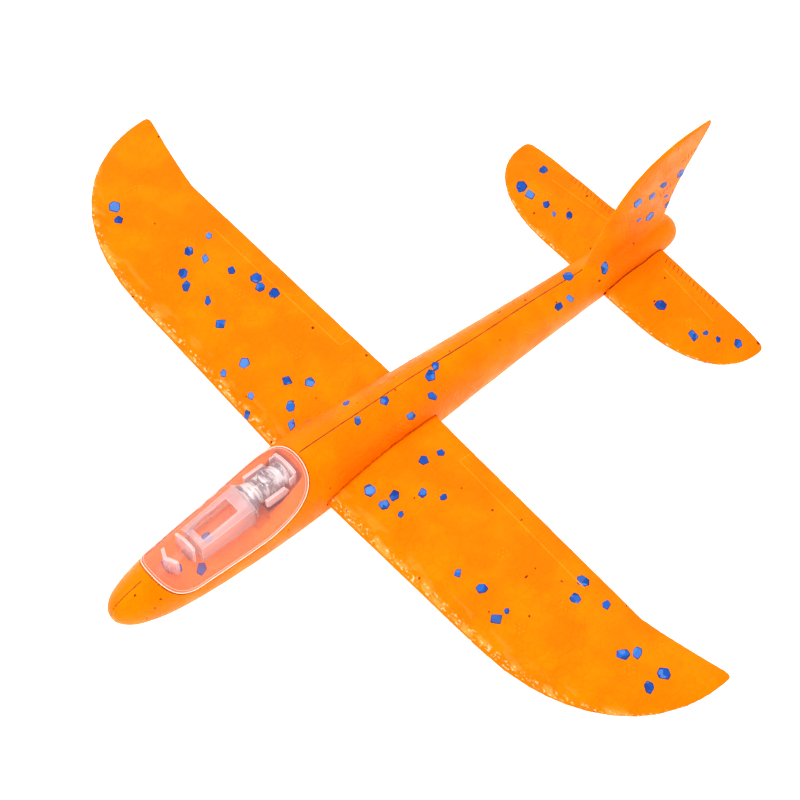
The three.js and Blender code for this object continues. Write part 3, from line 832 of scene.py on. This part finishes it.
def vent(made, skin, place, normal, radius=2.7):
    """A mould steam vent: a ring of six raised dots round a middle one."""
    rng = random.Random(4)
    across = normal.orthogonal().normalized()
    along = normal.cross(across)
    made.bead(rng, place, normal, VENT_DOT, corners=6, rise=0.9)
    for k in range(VENT_DOTS):
        angle = 2 * math.pi * k / VENT_DOTS
        spot = place + (across * math.cos(angle) + along * math.sin(angle)) * radius * MM
        made.bead(rng, *skin.nearest(spot), VENT_DOT, corners=6, rise=0.9)


def slits(made, skin, spots):
    """Short slanting slits in a row along a trailing edge."""
    for x, y in spots:
        for look in (skin.above, skin.below):
            path = [look(x + step, y + step * 0.5) for step in (-1.6, -0.8, 0, 0.8, 1.6)]
            path = [spot for spot in path if spot]
            if len(path) > 2:
                made.sweep(path, 0.5, 0.1)


def hinge_line(panel):
    """The long line of a moulded control surface, from its outer end to its inner end."""
    return [(panel["hinge_outer"], panel["outer"]), (panel["hinge_inner"], panel["inner"])]


def mould_marks(name, skin, ridges, vents, body):
    """The ridges and vents of a wing, the same on both sides and both faces."""
    made = Builder(skin)
    for side in (-1, 1):
        ridge_lines(made, skin, ridges, side)
        for x, y in vents:
            for found in (skin.above(x, y * side), skin.below(x, y * side)):
                if found:
                    vent(made, skin, *found)
    settle(made.build(name, MARK_HIGHLIGHT), body)


AILERON_END = [(AILERON["hinge_inner"], AILERON["inner"]), (AILERON["trail"], AILERON["inner"])]
mould_marks("wing_mould_marks", WING_SKIN, [hinge_line(AILERON), AILERON_END], WING_VENTS,
            "wing")
mould_marks("tailplane_mould_marks", TAIL_SKIN, [hinge_line(ELEVATOR)], TAIL_VENTS,
            "tailplane")


def tail_slits():
    """Rows of short slanting slits along the tailplane's trailing edge."""
    made = Builder(TAIL_SKIN)
    row = SIDE_SLITS
    spots = []
    for side in (-1, 1):
        spots += [(row["x"], side * (row["first"] + row["pitch"] * k)) for k in range(row["count"])]
    slits(made, TAIL_SKIN, spots)
    settle(made.build("tailplane_vent_slits", SLIT_SHADOW), "tailplane")


def fin_slits():
    """Short upright slits in three groups on each face of the fin."""
    made = Builder(BODY_SKIN)
    for side in (-1, 1):
        for x, z in FIN_SLITS:
            for k in range(FIN_SLIT["count"]):
                path = []
                for step in (-1.8, -0.9, 0, 0.9, 1.8):
                    height = z + step + FIN_SLIT["rise"] * k
                    start = Vector((x - k * FIN_SLIT["pitch"], side * 30, height)) * MM
                    found = BODY_SKIN.hit(start, (0, -side, 0))
                    if found:
                        path.append(found)
                if len(path) > 2:
                    made.sweep(path, 0.7, 0.08)
    settle(made.build("fin_vent_slits", SLIT_SHADOW), "airframe")


tail_slits()
fin_slits()


def body_marks():
    """Vents on the fuselage's sides and the fin."""
    made = Builder(BODY_SKIN)
    for x, y, z in BODY_VENTS:
        for side in (-1, 1):
            vent(made, BODY_SKIN, *BODY_SKIN.nearest(Vector((x, y * side, z)) * MM), radius=2.3)
    settle(made.build("fuselage_mould_marks", MARK_HIGHLIGHT), "airframe")


def uneven(seed, low, high, scale=0.23):
    """A width that wanders between low and high along a line."""
    return lambda i: low + (high - low) * (0.5 + 0.5 * noise.noise(Vector((i * scale, seed, 0.3))))


def parting_seam():
    """The line where the fuselage's two halves are joined, on top, at the nose and underneath."""
    made = Builder(BODY_SKIN)
    top = []
    for k in range(SEAM_TOP["count"]):
        aside = SEAM_TOP["wander"] * math.sin(k * SEAM_TOP["turn"])
        found = BODY_SKIN.above(SEAM_TOP["front"] - k * SEAM_TOP["step"], aside)
        if found and found[0].z < SEAM_TOP["highest"] * MM:
            top.append(found)
    made.sweep(top, uneven(3, 0.35, 0.85), 0.05)
    nose = []
    middle = Vector((SEAM_NOSE["middle"], 0, SEAM_NOSE["height"])) * MM
    for k in range(SEAM_NOSE["count"]):
        turn = math.radians(SEAM_NOSE["first"] + k * SEAM_NOSE["step"])
        away = Vector((math.cos(turn), 0, math.sin(turn)))
        found = BODY_SKIN.hit(middle + away * SEAM_NOSE["away"] * MM, -away)
        if found and found[0].x > SEAM_NOSE["rear"] * MM:
            nose.append(found)
    made.sweep(nose, uneven(8, 0.3, 0.75), 0.05)
    belly = []
    for k in range(SEAM_BELLY["count"]):
        belly.append(BODY_SKIN.below(SEAM_BELLY["front"] - k * SEAM_BELLY["step"], 0))
    belly = [found for found in belly if found]
    made.sweep(belly, uneven(5, 0.25, 0.6), 0.05)
    settle(made.build("fuselage_parting_seam", SEAM_SHADOW), "airframe")


def root_point(look, x, start, lift, side):
    """A point on a wing just outside the fuselage's wall, or None where either is missing."""
    y = start
    for _ in range(GAP["rounds"]):
        found = look(x, y * side)
        if not found:
            return None
        outside = (x * MM, side * LOOK_FROM["aside"] * MM, found[0].z + lift * MM)
        wall = BODY_SKIN.hit(outside, (0, -side, 0))
        if not wall:
            return None
        y = abs(wall[0].y) / MM
    return look(x, (y + GAP["outside"]) * side)


def root_gap_shadow(skin, x_range, start, widest, name):
    """Painted shadow in the uneven slit where a wing passes into the fuselage, over and under, on both
    sides.
    """
    made = Builder(skin)
    seed = 1
    count = int((x_range[1] - x_range[0]) / GAP["step"])
    for side in (-1, 1):
        for look, lift in ((skin.above, GAP["lift"]), (skin.below, -GAP["lift"])):
            line = []
            for k in range(count):
                line.append(root_point(look, x_range[0] + k * GAP["step"], start, lift, side))
            line = [spot for spot in line if spot]
            if len(line) > 3:
                made.sweep(line, uneven(seed, 0.12, widest, 0.31), 0.1)
            seed += 4
    settle(made.build(name, ROOT_GAP_SHADOW), "airframe")


body_marks()
parting_seam()
root_gap_shadow(WING_SKIN, (8, 84), 21, 1.7, "wing_root_gap_shadow")
root_gap_shadow(TAIL_SKIN, (-174, -130), 12, 0.8, "tail_root_gap_shadow")


# ---------------------------------------------------------------- refined CAD pieces
def refined(node, name, body, face_material, edge_material, bevel):
    """A copy of a CAD solid with its flat faces merged and its edges rounded."""
    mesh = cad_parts[node].data.copy()
    work = bmesh.new()
    work.from_mesh(mesh)
    bmesh.ops.remove_doubles(work, verts=work.verts, dist=0.00001)
    bmesh.ops.dissolve_limit(work, angle_limit=math.radians(1.5), verts=work.verts, edges=work.edges)
    work.to_mesh(mesh)
    work.free()
    mesh.materials.clear()
    mesh.materials.append(face_material)
    mesh.materials.append(edge_material or face_material)
    piece = make_object(name, mesh)
    if bevel:
        rounding = piece.modifiers.new("rounding", "BEVEL")
        rounding.width = bevel * MM
        rounding.segments = 2
        rounding.limit_method = "ANGLE"
        rounding.angle_limit = math.radians(SHARP_ANGLE)
        # The rounded edges take the second material, which on the frosted and clear parts is a painted
        # highlight or painted shade.
        rounding.material = 1
        settle_modifiers(piece)
    smooth_faces(piece.data)
    piece.data.set_sharp_from_angle(angle=math.radians(SHARP_ANGLE))
    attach(piece, body)
    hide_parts(node)
    return piece


canopy = refined("canopy", "canopy_shell", "canopy", CANOPY, None, 0)
refined("lamp_sleeve", "lamp_sleeve_frosted", "canopy", INNER, EDGE_HIGHLIGHT, 0.3)
refined("middle_clip", "middle_clip_frosted", "canopy", CLIP, EDGE_HIGHLIGHT, 0.3)
refined("front_clip", "front_clip_frosted", "canopy", CLIP, EDGE_HIGHLIGHT, 0.3)
refined("port_rail", "port_rail_frosted", "canopy", CLIP, EDGE_HIGHLIGHT, 0.3)
refined("starboard_rail", "starboard_rail_frosted", "canopy", CLIP, EDGE_HIGHLIGHT, 0.3)
refined("rear_bracket", "rear_bracket_frosted", "canopy", CLIP, EDGE_HIGHLIGHT, 0.25)
refined("lamp_housing", "lamp_housing_clear", "lamp", CLEAR, GROOVE_SHADE, 0.2)
refined("lamp_bezel", "lamp_bezel_clear", "lamp", CLEAR, EDGE_HIGHLIGHT, 0.15)
refined("battery_cap", "battery_cap_clear", "battery_cap", CLEAR, EDGE_HIGHLIGHT, 0.15)
refined("push_button", "push_button_clear", "push_button", CLEAR, GROOVE_SHADE, 0.2)
refined("rear_contact_spring", "rear_contact_spring_nickel", "lamp", NICKEL, None, 0.05)
refined("contact_strip", "contact_strip_brass", "lamp", BRASS, None, 0.05)
refined("lamp_board", "lamp_board_green", "lamp", BOARD, None, 0.08)
refined("led", "led_clear", "lamp", CLEAR, None, 0.1)
for number in (1, 2, 3):
    refined(f"button_cell_{number}", f"button_cell_{number}_nickel", "lamp", NICKEL, None, 0.35)
refined("nose_weight", "nose_weight_steel", "airframe", STEEL, None, 0.3)


# ---------------------------------------------------------------- canopy lip
def from_spine(point):
    """The direction in which the canopy bulges at a point."""
    return (point - Vector((point.x, 0, SPINE_HEIGHT * MM))).normalized()


def canopy_border():
    """The outer edge of the canopy's top skin, as an ordered ring of points."""
    work = bmesh.new()
    work.from_mesh(canopy.data)
    work.faces.ensure_lookup_table()
    outer = set()
    for face in work.faces:
        middle = face.calc_center_median()
        if face.normal.dot(from_spine(middle)) > CANOPY_TOP_FACING:
            outer.add(face)
    links = {}
    for edge in work.edges:
        sides = [face in outer for face in edge.link_faces]
        if len(sides) == 2 and sides[0] != sides[1]:
            a, b = (v.index for v in edge.verts)
            links.setdefault(a, []).append(b)
            links.setdefault(b, []).append(a)
    places = {v.index: v.co.copy() for v in work.verts}
    work.free()
    best = []
    seen = set()
    for start in links:
        if start in seen:
            continue
        loop = [start]
        seen.add(start)
        while True:
            onward = [k for k in links[loop[-1]] if k not in seen]
            if not onward:
                break
            loop.append(onward[0])
            seen.add(onward[0])
        if len(loop) > len(best):
            best = loop
    return [places[k] for k in best]


def evenly(loop, step):
    """The closed loop again, with points the same distance apart."""
    lengths = [0.0]
    closed = loop + [loop[0]]
    for a, b in zip(closed, closed[1:]):
        lengths.append(lengths[-1] + (b - a).length)
    count = round(lengths[-1] / (step * MM))
    out = []
    k = 0
    for i in range(count):
        goal = lengths[-1] * i / count
        while lengths[k + 1] < goal:
            k += 1
        share = (goal - lengths[k]) / max(lengths[k + 1] - lengths[k], 1e-9)
        out.append(closed[k].lerp(closed[k + 1], share))
    return out


def lip_line(name, border, ground, inward, width, height, material, body):
    """A fine rib that follows the canopy's edge, some way in from it, on the given skin."""
    middle = sum(border, Vector()) / len(border)
    made = Builder(ground)
    path = []
    for i, point in enumerate(border):
        up = from_spine(point)
        along = (border[(i + 1) % len(border)] - border[i - 1]).normalized()
        side = up.cross(along).normalized()
        if side.dot(middle - point) < 0:
            side = -side
        place, _ = ground.nearest(point + side * inward * MM + up * 0.2 * MM)
        path.append((place, up))
    made.sweep(path, width, height, closed=True, sink=0.3)
    settle(made.build(name, material), body)


def canopy_lip():
    """The canopy's bright lip, a fine line inside it and the shadow of its seat outside it."""
    border = evenly(canopy_border(), 1.0)
    n = len(border)
    for _ in range(LIP_ROUNDS):
        border = [(border[i - 1] + border[i] * 2 + border[(i + 1) % n]) / 4 for i in range(n)]
    skin = Skin(canopy.data)
    lip_line("canopy_lip", border, skin, 0.3, 0.5, 0.3, RIM, "canopy")
    lip_line("canopy_inner_line", border, skin, 1.7, 0.3, 0.06, LINE, "canopy")
    lip_line("canopy_seat_line", border, BODY_SKIN, -0.45, 0.35, 0.03, SEAM_SHADOW, "airframe")


canopy_lip()


# ---------------------------------------------------------------- studio
def studio():
    """A plain white floor and sky with two soft lamps."""
    half = FLOOR["half"]
    mesh = mesh_from("floor", [(-half, -half, 0), (half, -half, 0), (half, half, 0), (-half, half, 0)],
                     [(0, 1, 2, 3)])
    mesh.materials.append(floor_material())
    floor = make_object("floor", mesh)
    floor.location.z = -FLOOR["down"]
    world = bpy.data.worlds.new("soft_white")
    world.use_nodes = True
    back = world.node_tree.nodes["Background"]
    back.inputs["Color"].default_value = (1, 1, 1, 1)
    back.inputs["Strength"].default_value = WORLD_STRENGTH
    bpy.context.scene.world = world
    for name, place, size, power in LIGHTS:
        lamp = bpy.data.lights.new(name, "AREA")
        lamp.shape = "DISK"
        lamp.size = size
        lamp.energy = power
        holder = bpy.data.objects.new(name, lamp)
        holder.location = place
        holder.rotation_mode = "QUATERNION"
        holder.rotation_quaternion = (-Vector(place)).to_track_quat("-Z", "Y")
        bpy.context.collection.objects.link(holder)
    bpy.context.scene.view_settings.view_transform = "Standard"


def camera():
    """A long lens that looks down at the glider from ahead and to port."""
    lens = bpy.data.cameras.new("camera")
    lens.lens = CAMERA["lens"]
    lens.sensor_width = 36
    lens.clip_start = 0.05
    lens.clip_end = 100
    holder = bpy.data.objects.new("camera", lens)
    turn = math.radians(CAMERA["turn"])
    rise = math.radians(CAMERA["rise"])
    away = Vector((math.cos(rise) * math.cos(turn), math.cos(rise) * math.sin(turn), math.sin(rise)))
    holder.location = (Vector(CAMERA["aim"]) + away * CAMERA["distance"]) * MM
    holder.rotation_mode = "QUATERNION"
    holder.rotation_quaternion = (-away).to_track_quat("-Z", "Y")
    bpy.context.collection.objects.link(holder)
    bpy.context.scene.camera = holder


studio()
camera()
